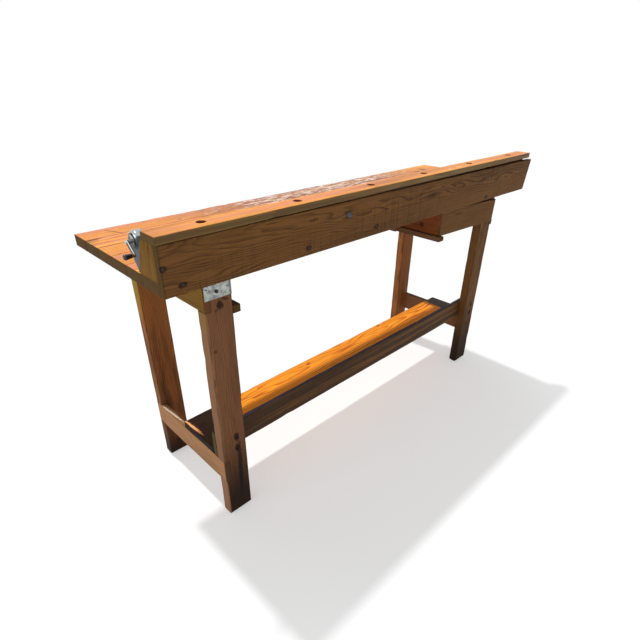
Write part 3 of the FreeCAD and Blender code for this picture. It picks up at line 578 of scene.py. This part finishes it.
def turned(name, profile, centre, body, material):
    """A lathe-turned piece on an axis along X; the profile gives (x, radius) in mm."""
    steps, weld = 56, 0.005 * MM
    bm = bmesh.new()
    verts = [bm.verts.new(centre + Vector((x * MM, 0, radius * MM))) for x, radius in profile]
    edges = [bm.edges.new(pair) for pair in zip(verts, verts[1:])]
    bmesh.ops.spin(bm, geom=verts + edges, cent=centre, axis=(1, 0, 0),
                   angle=2 * math.pi, steps=steps, use_merge=True)
    bmesh.ops.remove_doubles(bm, verts=bm.verts, dist=weld)
    bmesh.ops.recalc_face_normals(bm, faces=bm.faces)
    return finished(name, bm, body, material)


def dress(material, *cads):
    """Gives CAD nodes whose shape is right their finish."""
    for cad in cads:
        NODES[cad].data.materials.clear()
        NODES[cad].data.materials.append(material)


class WORKBENCH_OT_boards(Operator):
    """The six varnished boards of the top, the two rear ones scuffed"""

    bl_idname = "workbench.boards"
    bl_label = "Tabletop boards"

    def execute(self, context):
        scratch = mark(at(95, 468, TABLE_TOP), (43, 3, 10), "#4A3320", 0.85, turn=(0, 0, -66))
        burns = [mark(at(305, 461, TABLE_TOP), (14, 6, 10), "#5D5860", 0.6, turn=(0, 0, 20)),
                 mark(at(453, 462, TABLE_TOP), (12, 7, 10), "#5D5860", 0.6, turn=(0, 0, 40))]
        for number in range(6):
            cad = "tabletop_board_%d" % (number + 1)
            low, high = corners(cad)
            scuff = None
            if number >= 4:
                scuff = (at(960, (low.y + high.y) / 2, TABLE_TOP), (740, 90, 30))
            material = softwood("varnished_board_%d" % (number + 1), cad, TOP,
                                3.0 + number * 1.7, ring_mm=6.5, contrast=1.0, gloss=0.42,
                                coat=VARNISH, scuff=scuff,
                                marks=[scratch] + (burns if number == 5 else []),
                                clouds=0.2, grime=0.15, ends="board_end")
            rubbed_board(cad, material, number + 1)
        return {"FINISHED"}


class WORKBENCH_OT_beam(Operator):
    """The raised front beam: apron, strip with dog holes, end block and risers"""

    bl_idname = "workbench.beam"
    bl_label = "Front beam"

    def execute(self, context):
        stains = [mark(at(x, 0, z), (13, 8, 9), "#140C07", 0.85) for x, z in NAILS]
        apron = softwood("stained_apron", "front_apron", FRONT, 4.75, ring_mm=4.0,
                         contrast=0.85, marks=stains, heart_mm=(38, 28), flow=30, sawn=0.5)
        rubbed_board("front_apron", apron, 11)

        chips = [mark(at(x, y, STRIP_HIGH.z), (3, radius, 5), "#F2DCC4", 0.9, turn=(0, 0, turn))
                 for x, y, radius, turn in ((1146, 17, 9, -20), (1209, 22, 10, 25))]
        # The holes' walls are darker than the face: each mark stops just under it
        length = STRIP_HIGH.x - STRIP_LOW.x
        walls = [mark(at(STRIP_LOW.x + length * share, DOG_ROW, STRIP_LOW.z), (24, 24, 19.5),
                      "#6E2A12", 0.95, border=0.05) for share in DOG_SHARES]
        strip = softwood("varnished_strip", "beam_top_strip", TOP, 7.9, ring_mm=7.0,
                         contrast=0.85, gloss=0.42, coat=VARNISH, marks=chips + walls,
                         clouds=0.45, grime=0.25)
        rubbed_board("beam_top_strip", strip, 12)
        # The end block's ochre is painted yellow light
        block = softwood("ochre_end_block", "beam_end_block", OCHRE, 2.2, ring_mm=4.0)
        rubbed_board("beam_end_block", block, 13)
        dress(softwood("stained_risers", "beam_riser_blocks", FRONT, 5.4), "beam_riser_blocks")
        return {"FINISHED"}


class WORKBENCH_OT_legs(Operator):
    """Four legs, stained round their screws and knotted here and there"""

    bl_idname = "workbench.legs"
    bl_label = "Legs"

    def execute(self, context):
        front, left = LEG_LOW.y, LEG_LOW.x
        screws = [mark(at(196 + shift, front, z), (11, 14, 20), "#17110C", 0.85)
                  for shift in (0, LEG_PITCH) for z in (330, 285)]
        own = [mark(at(200, front, 185), (10, 14, 150), "#17110C", 0.8, turn=(0, 2, 0)),
               mark(at(190, front, 802), (12, 14, 15), "#1E120A", 0.85),
               mark(at(159, front, 667), (5, 6, 7), "#3A2415", 0.7),
               mark(at(145, front, 565), (3, 4, 22), "#20140B", 0.75, turn=(0, 3, 0)),
               # Painted light on the left face: yellow by the rail, and paler than the front
               # further down
               mark(at(left, 110, 800), (5, 60, 90), "#7A5C1E", 0.5),
               mark(at(left, 106, 560), (10, 70, 480), "#B08660", 0.16),
               mark(at(left, 106, 70), (5, 60, 160), "#8E6448", 0.8, border=0.2),
               # Grain that swirls round the knot under the bracket
               mark(at(205, front, 818), (14, 8, 5), "#2A190E", 0.7, turn=(0, 20, 0)),
               mark(at(178, front, 790), (9, 8, 4), "#2A190E", 0.7, turn=(0, -30, 0))]
        # Painted yellow light on the rear left leg's left face
        olive = [mark(at(left, 525, 860), (9, 40, 260), "#8A7216", 0.75)]
        plan = (("front_left_leg", LEG, 0.34, 0.4, screws + own),
                ("front_right_leg", FRONT, 0.34, 0.4, screws),
                ("rear_left_leg", REAR, 0.12, 0.75, olive),
                ("rear_right_leg", REAR, 0.12, 0.4, ()))
        for number, (cad, tones, foot, clouds, marks) in enumerate(plan):
            material = softwood("oiled_" + cad, cad, tones, 1.3 + number * 2.1, ring_mm=4.2,
                                marks=marks, foot=foot, clouds=clouds)
            rubbed_board(cad, material, 21 + number)
        return {"FINISHED"}


class WORKBENCH_OT_rails(Operator):
    """Cross rails, ledge strips, stretcher and shelf"""

    bl_idname = "workbench.rails"
    bl_label = "Rails and shelf"

    def execute(self, context):
        shelf = {"ring_mm": 5.0, "heart_mm": (45, -38), "contrast": 1.0, "clouds": 0.05,
                 "gloss": 0.45, "marks": self.shelf_marks()}
        plan = (
            ("lower_rail_left", RAIL, "ochre_pine", 3.1,
             {"ends": "rail_dark", "marks": self.rail_marks()}),
            ("lower_rail_right", LEG, "dark_pine", 4.6, {}),
            ("upper_rail_left", OCHRE, "ochre_pine", 5.2, {"ends": "rail_dark"}),
            ("upper_rail_right", LEG, "dark_pine", 6.3, {}),
            ("ledge_strip_left", LEG, "dark_pine", 7.7, {}),
            ("ledge_strip_right", LEG, "dark_pine", 8.2, {}),
            # The stretcher's upper face carries painted shade
            ("front_stretcher", FRONT, "dark_pine", 9.8, {"coat": SHADED_STRETCHER_TOP, "sawn": 0.3}),
            ("shelf_board", SHELF, "shelf_pine", 2.7, shelf))
        for number, (cad, tones, slot, seed, looks) in enumerate(plan):
            material = softwood("oiled_" + cad, cad, tones, seed, **{"ring_mm": 4.6, **looks})
            rubbed_board(cad, material, 31 + number)
        return {"FINISHED"}

    def shelf_marks(self):
        """Painted shadows of the rear legs over both ends, with straight borders, knots, and a
        painted sunlit sliver.
        """
        reach = 620
        # Painted shadows of the rear left and rear right legs over the shelf's ends
        return [mark(at(246 - reach, 240, SHELF_TOP), (reach, reach, 300), "#151418", 0.95,
                     border=0.02),
                mark(at(1625 + reach, 240, SHELF_TOP), (reach, reach, 300), "#262C2C", 0.95,
                     border=0.02),
                mark(at(1199, 322, SHELF_TOP), (11, 9, 8), "#7A3A12", 0.7),
                mark(at(717, 304, SHELF_TOP), (13, 8, 8), "#7A3A12", 0.7),
                # Painted sunlight: a sliver between the left rail and the leg's shadow
                mark(at(149, 280, SHELF_TOP), (6, 70, 6), "#F2A868", 0.95, turn=(0, 0, 3.5))]

    def rail_marks(self):
        """A knot, the sunlit upper edge, and the front end, dark as the leg round it."""
        return [mark(at(RAIL_LOW.x, 486, 275), (9, 9, 9), "#20150D", 0.8),
                mark(at(148, 435, RAIL_HIGH.z), (5, 85, 4), "#FFE6CC", 0.95,
                     turn=(0, 0, 3.5)),
                mark(at(153, RAIL_LOW.y, (RAIL_LOW.z + RAIL_HIGH.z) / 2), (26, 5, 75),
                     "#4A3425", 0.8, border=0.1)]


class WORKBENCH_OT_drawer(Operator):
    """The drawer, its runners and their hangers"""

    bl_idname = "workbench.drawer"
    bl_label = "Drawer and runners"

    def execute(self, context):
        side = corners("drawer_side_left")[0].x
        knot = [mark(at(side, 157, 807), (12, 13, 12), "#2C150B", 0.8)]
        plan = (("drawer_front", FRONT, 6.1, {"contrast": 0.55, "clouds": 0.15}),
                ("drawer_side_left", BOX, 4.4, {"marks": knot}),
                ("drawer_side_right", BOX, 5.5, {}),
                ("drawer_back", BOX, 6.6, {}),
                ("drawer_runner_left", LEG, 7.2, {}),
                ("drawer_runner_right", LEG, 8.8, {}))
        for cad, tones, seed, looks in plan:
            dress(softwood("oiled_" + cad, cad, tones, seed, ring_mm=3.8, **looks), cad)
        for cad, seed, wear_seed in (("runner_hanger_front", 9.9, 47),
                                     ("runner_hanger_rear", 1.1, 48)):
            material = softwood("oiled_" + cad, cad, LEG, seed, ring_mm=3.8)
            rubbed_board(cad, material, wear_seed)
        dress(softwood("plain_drawer_bottom", "drawer_bottom", BOX, 3.3, ring_mm=5.5),
              "drawer_bottom")
        return {"FINISHED"}


class WORKBENCH_OT_fixings(Operator):
    """The galvanised bracket, and the nails, screws and bolt of the timber"""

    bl_idname = "workbench.fixings"
    bl_label = "Bracket and fixings"

    def execute(self, context):
        dress(galvanised_sheet(), "leg_bracket")
        steel = metal("tarnished_steel", tone("steel"), 0.7, 0.45, 0.75, 0.4, "#2A1A10", 0.7)
        dress(steel, "stretcher_screws", "bracket_screws")
        nail = metal("worn_nail_heads", paint("#2A2019"), 0.15, 0.55, 0.85, 0.4, "#140C07",
                     0.8)
        dress(nail, "apron_nails")
        slate = metal("blued_bolt", paint("#46505A"), 0.85, 0.38, 0.6, 0.5, "#1C1A1A", 0.6)
        dress(slate, "apron_bolt")
        return {"FINISHED"}


class WORKBENCH_OT_sharpener(Operator):
    """The crank sharpener: grey casting with a chromed dome, steel crank and black knob"""

    bl_idname = "workbench.sharpener"
    bl_label = "Sharpener"

    # Outlines of the knob and its ferrule: x from the arm, and radius, in mm
    KNOB = [(-4.2, 1.65), (-4.2, 4.7), (-5.2, 5.1), (-11, 5.8), (-16, 6.4), (-18.8, 6.75),
            (-20.8, 6.5), (-22.1, 5.6), (-22.8, 4.0), (-23, 2.0), (-22.6, 0)]
    FERRULE = [(-0.1, 1.65), (-0.1, 3.9), (-0.5, 4.3), (-2.8, 4.4), (-3.2, 4.8), (-3.9, 4.8),
               (-4.2, 4.5), (-4.2, 1.65)]

    def execute(self, context):
        shaft_low, shaft_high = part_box("crank_shaft")
        hub = (shaft_low + shaft_high) / 2
        chrome = metal("chrome_plate", tone("chrome"), 1.0, 0.08, 0.22, 0.5, "#8A8D90", 0.25,
                       bump_mm=0.1)
        bright = metal("bright_plated_steel", tone("chrome"), 1.0, 0.18, 0.4, 0.35, "#6F6A62",
                       0.4, bump_mm=0.1)
        tool = metal("ground_tool_steel", paint("#8E8F92"), 1.0, 0.25, 0.5, 0.3)
        dress(self.casting(hub), "sharpener_frame")
        dress(chrome, "sharpener_receptacle")
        dress(self.arm(hub), "crank_arm")
        dress(bright, "crank_shaft", "crank_nut", "knob_pin", "sharpener_dial_rivet",
              "sharpener_size_dial", "sharpener_screws")
        dress(tool, "sharpener_cutter_front", "sharpener_cutter_rear", "sharpener_ring_gear",
              "sharpener_carrier")

        knob_low, knob_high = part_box("crank_knob")
        knob_hub = (knob_low + knob_high) / 2
        knob_hub.x = knob_high.x
        knob = metal("moulded_knob", tone("knob"), 0.0, 0.12, 0.28, 0.6, "#2E2A28", 0.4)
        grip = turned("turned_knob", self.KNOB, knob_hub, "knob", knob)
        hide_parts("crank_knob")
        ferrule = metal("browned_ferrule", paint("#6B4A35"), 0.6, 0.3, 0.5, 0.5)
        turned("knob_ferrule", self.FERRULE, knob_hub, "knob", ferrule)
        return {"FINISHED"}

    def arm(self, hub):
        """Steel in a dark colour, painted shade for its outer face, with a painted highlight of
        bright metal along the outer corner of the arm's upper edge."""
        lean = math.radians(48)
        wear_mm = 3.3333
        material, place, shader = blank("browned_arm")
        off = node(material, "ShaderNodeVectorMath", {0: place, 1: hub}, operation="SUBTRACT")
        rise = node(material, "ShaderNodeVectorMath",
                    {0: off, 1: (0, -math.cos(lean), math.sin(lean))},
                    operation="DOT_PRODUCT").outputs["Value"]
        # Noise that makes the painted highlight's border uneven
        wear = node(material, "ShaderNodeTexNoise",
                    {"Vector": place, "Scale": 1 / (wear_mm * MM), "Detail": 3.0})
        level = node(material, "ShaderNodeMath", {0: wear, 1: 1.2 * MM, 2: rise},
                     operation="MULTIPLY_ADD")
        # Painted highlight: the share of bright metal along the upper edge's outer corner
        bare = node(material, "ShaderNodeMapRange", {0: level, 1: 3.8 * MM, 2: 4.3 * MM})
        across = node(material, "ShaderNodeSeparateXYZ", {0: place})
        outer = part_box("crank_arm")[0].x
        corner = node(material, "ShaderNodeMapRange",
                      {0: across, 1: outer + 1.6 * MM, 2: outer + 2.6 * MM, 3: 1.0, 4: 0.0})
        bare = node(material, "ShaderNodeMath", {0: bare, 1: corner}, operation="MULTIPLY")
        # Painted shade: the arm's dark colour; painted highlight: the chrome tone
        colour = node(material, "ShaderNodeMix", {0: bare, 6: paint("#2E2A26"), 7: tone("chrome")},
                      data_type="RGBA").outputs[2]
        rough = node(material, "ShaderNodeMapRange", {0: bare, 3: 0.5, 4: 0.25})
        feed(material, shader, {"Base Color": colour, "Roughness": rough, "Metallic": bare})
        return material

    def casting(self, hub):
        """Enamelled zinc casting, blue grey and satin. Its round dome is chromed on its upper part
        only, a painted highlight for the sky's reflection; below, the dull casting is painted
        reflection of the ground."""
        rim_mm, dome_mm, grit_mm, wear_mm = 16.5, 23.75, 1.1111, 8.3333
        material, place, shader = blank("cast_frame")
        off = node(material, "ShaderNodeVectorMath", {0: place, 1: hub}, operation="SUBTRACT")
        flat = node(material, "ShaderNodeVectorMath", {0: off, 1: (0, 1, 1)}, operation="MULTIPLY")
        reach = node(material, "ShaderNodeVectorMath", {0: flat},
                     operation="LENGTH").outputs["Value"]
        rim = node(material, "ShaderNodeMapRange",
                   {0: reach, 1: (rim_mm - 0.7) * MM, 2: (rim_mm + 0.7) * MM}, **SMOOTH)
        dome = node(material, "ShaderNodeMapRange",
                    {0: reach, 1: (dome_mm - 0.15) * MM, 2: (dome_mm + 0.15) * MM, 3: 1.0, 4: 0.0})
        # Painted shade: a dark ring in the groove round the dome
        groove_shade = node(material, "ShaderNodeMath", {0: reach, 1: rim_mm * MM, 2: 1.6 * MM},
                      operation="COMPARE")

        # Height above a line through the hub that slopes to the rear, or to the front
        parts = node(material, "ShaderNodeSeparateXYZ", {0: off}).outputs
        rear, front = (
            node(material, "ShaderNodeMapRange",
                 {0: node(material, "ShaderNodeMath", {0: parts[1], 1: slope, 2: parts[2]},
                          operation="MULTIPLY_ADD"),
                  1: start * MM, 2: end * MM}, **SMOOTH)
            for slope, start, end in ((0.5, -2, 6), (-1.0, 1, 12)))
        # Painted highlight: bright chrome above these lines, dull and dark below them
        plated = node(material, "ShaderNodeMix", {0: rim, 2: front, 3: rear})
        plated = node(material, "ShaderNodeMath", {0: plated, 1: dome}, operation="MULTIPLY")

        grit = node(material, "ShaderNodeTexNoise",
                    {"Vector": place, "Scale": 1 / (grit_mm * MM), "Detail": 3.0})
        wear = node(material, "ShaderNodeTexNoise",
                    {"Vector": place, "Scale": 1 / (wear_mm * MM), "Detail": 4.0})
        chips = node(material, "ShaderNodeMapRange", {0: wear, 1: 0.6, 2: 0.7, 3: 0.0, 4: 0.7})
        colour = tone("casting")
        for share, code in ((chips, "#4A4038"), (plated, "#ADB2B4"), (groove_shade, "#2B2D2E")):
            colour = node(material, "ShaderNodeMix", {0: share, 6: colour, 7: paint(code)},
                          data_type="RGBA").outputs[2]
        rough = node(material, "ShaderNodeMapRange", {0: plated, 3: 0.42, 4: 0.16})
        bump = node(material, "ShaderNodeBump",
                    {"Strength": 0.25, "Distance": 0.2 * MM, "Height": grit})
        feed(material, shader, {"Base Color": colour, "Roughness": rough,
                                "Metallic": plated, "Normal": bump})
        return material


class WORKBENCH_OT_stage(Operator):
    """White floor and surround, daylight from the rear, and the camera"""

    bl_idname = "workbench.stage"
    bl_label = "Stage, light and camera"

    def execute(self, context):
        scene = context.scene
        scene.view_settings.view_transform = "Standard"
        self.floor(scene)
        self.light(scene)
        self.camera(scene)
        return {"FINISHED"}

    def seen(self, owner):
        """1 for what the camera sees, straight, in a gloss or through glass."""
        rays = node(owner, "ShaderNodeLightPath").outputs
        straight = node(owner, "ShaderNodeMath",
                        {0: rays["Is Camera Ray"], 1: rays["Is Glossy Ray"]}, operation="MAXIMUM")
        return node(owner, "ShaderNodeMath", {0: straight, 1: rays["Is Transmission Ray"]},
                    operation="MAXIMUM")

    def floor(self, scene):
        """Matt white board, which reads as plain white further out."""
        half_size, fade_from, fade_to = 30, 0.7, 2.2
        material, place, shader = blank("white_floor")
        feed(material, shader, {"Base Color": paint("#F6F6F6"), "Roughness": 0.9,
                                "Specular IOR Level": 0.0})
        reach = node(material, "ShaderNodeVectorMath", {0: place}, operation="LENGTH")
        far = node(material, "ShaderNodeMapRange",
                   {0: reach.outputs["Value"], 1: fade_from, 2: fade_to, 3: 0.45}, **SMOOTH)
        share = node(material, "ShaderNodeMath", {0: far, 1: self.seen(material)},
                     operation="MULTIPLY")
        glow = node(material, "ShaderNodeEmission", {"Color": paint("#FFFFFF"), "Strength": 1.0})
        mixed = node(material, "ShaderNodeMixShader", {0: share, 1: shader, 2: glow})
        surface = next(n for n in material.node_tree.nodes if n.type == "OUTPUT_MATERIAL")
        feed(material, surface, {"Surface": mixed})
        bm = bmesh.new()
        bmesh.ops.create_grid(bm, x_segments=1, y_segments=1, size=half_size)
        mesh = bpy.data.meshes.new("floor")
        bm.to_mesh(mesh)
        bm.free()
        floor = bpy.data.objects.new("floor", mesh)
        scene.collection.objects.link(floor)
        mesh.materials.append(material)

    def light(self, scene):
        """A high sun behind the bench, a broad weak fill from the left, and pale daylight."""
        world = bpy.data.worlds.new("daylight")
        scene.world = world
        world.use_nodes = True
        world.node_tree.nodes.clear()
        sky, white = (node(world, "ShaderNodeBackground",
                           {"Color": paint("#FFFFFF"), "Strength": strength})
                      for strength in (0.42, 1.0))
        mixed = node(world, "ShaderNodeMixShader", {0: self.seen(world), 1: sky, 2: white})
        node(world, "ShaderNodeOutputWorld", {"Surface": mixed})
        # Strength, and then width, elevation and azimuth in degrees
        for name, energy, angle, elevation, azimuth in (("sun", 2.35, 2.5, 67, 184.3),
                                                        ("fill", 1.1, 60, 25, -80)):
            lamp = bpy.data.lights.new(name, "SUN")
            lamp.energy = energy
            lamp.angle = math.radians(angle)
            holder = bpy.data.objects.new(name, lamp)
            holder.rotation_euler = Euler((math.radians(90 - elevation), 0,
                                           math.radians(azimuth)))
            scene.collection.objects.link(holder)

    def camera(self, scene):
        """The photograph's camera, fitted to the bench's edges; angles in radians."""
        pitch, yaw, roll = 0.539, 0.775, -0.009
        stand = at(-414.04, -911.14, 1348.42)
        frame_px, focal_px, centre_x_px, centre_y_px = 640, 464.723, 318.536, 348.316
        ahead = Vector((math.sin(yaw) * math.cos(pitch), math.cos(yaw) * math.cos(pitch),
                        -math.sin(pitch)))
        right = Vector((math.cos(yaw), -math.sin(yaw), 0))
        down = ahead.cross(right)
        side = math.cos(roll) * right + math.sin(roll) * down
        drop = math.cos(roll) * down - math.sin(roll) * right
        data = bpy.data.cameras.new("camera")
        data.sensor_width = 36
        data.lens = data.sensor_width * focal_px / frame_px
        data.shift_x = (frame_px / 2 - centre_x_px) / frame_px
        data.shift_y = (centre_y_px - frame_px / 2) / frame_px
        data.clip_start = 0.05
        holder = bpy.data.objects.new("camera", data)
        turn = Matrix((side, -drop, -ahead)).transposed()
        holder.matrix_world = Matrix.Translation(stand) @ turn.to_4x4()
        scene.collection.objects.link(holder)
        scene.camera = holder


OPERATORS = (WORKBENCH_OT_boards, WORKBENCH_OT_beam, WORKBENCH_OT_legs, WORKBENCH_OT_rails,
             WORKBENCH_OT_drawer, WORKBENCH_OT_fixings, WORKBENCH_OT_sharpener,
             WORKBENCH_OT_stage)


class WORKBENCH_PT_dresser(Panel):
    """Lists the steps that dress the workbench"""

    bl_idname = "WORKBENCH_PT_dresser"
    bl_label = "Workbench"
    bl_space_type = "VIEW_3D"
    bl_region_type = "UI"
    bl_category = "Workbench"

    def draw(self, context):
        for step in OPERATORS:
            self.layout.operator(step.bl_idname)
        for group in (context.scene.workbench_sizes, context.scene.workbench_colours):
            box = self.layout.box()
            for name in group.__annotations__:
                box.prop(group, name)


CLASSES = (WorkbenchSizes, WorkbenchColours, *OPERATORS, WORKBENCH_PT_dresser)


def register():
    for cls in CLASSES:
        bpy.utils.register_class(cls)
    bpy.types.Scene.workbench_sizes = PointerProperty(type=WorkbenchSizes)
    bpy.types.Scene.workbench_colours = PointerProperty(type=WorkbenchColours)


def unregister():
    del bpy.types.Scene.workbench_colours
    del bpy.types.Scene.workbench_sizes
    for cls in reversed(CLASSES):
        bpy.utils.unregister_class(cls)


def main():
    register()
    bpy.ops.workbench.boards()
    bpy.ops.workbench.beam()
    bpy.ops.workbench.legs()
    bpy.ops.workbench.rails()
    bpy.ops.workbench.drawer()
    bpy.ops.workbench.fixings()
    bpy.ops.workbench.sharpener()
    bpy.ops.workbench.stage()


if __name__ == "__main__":
    main()
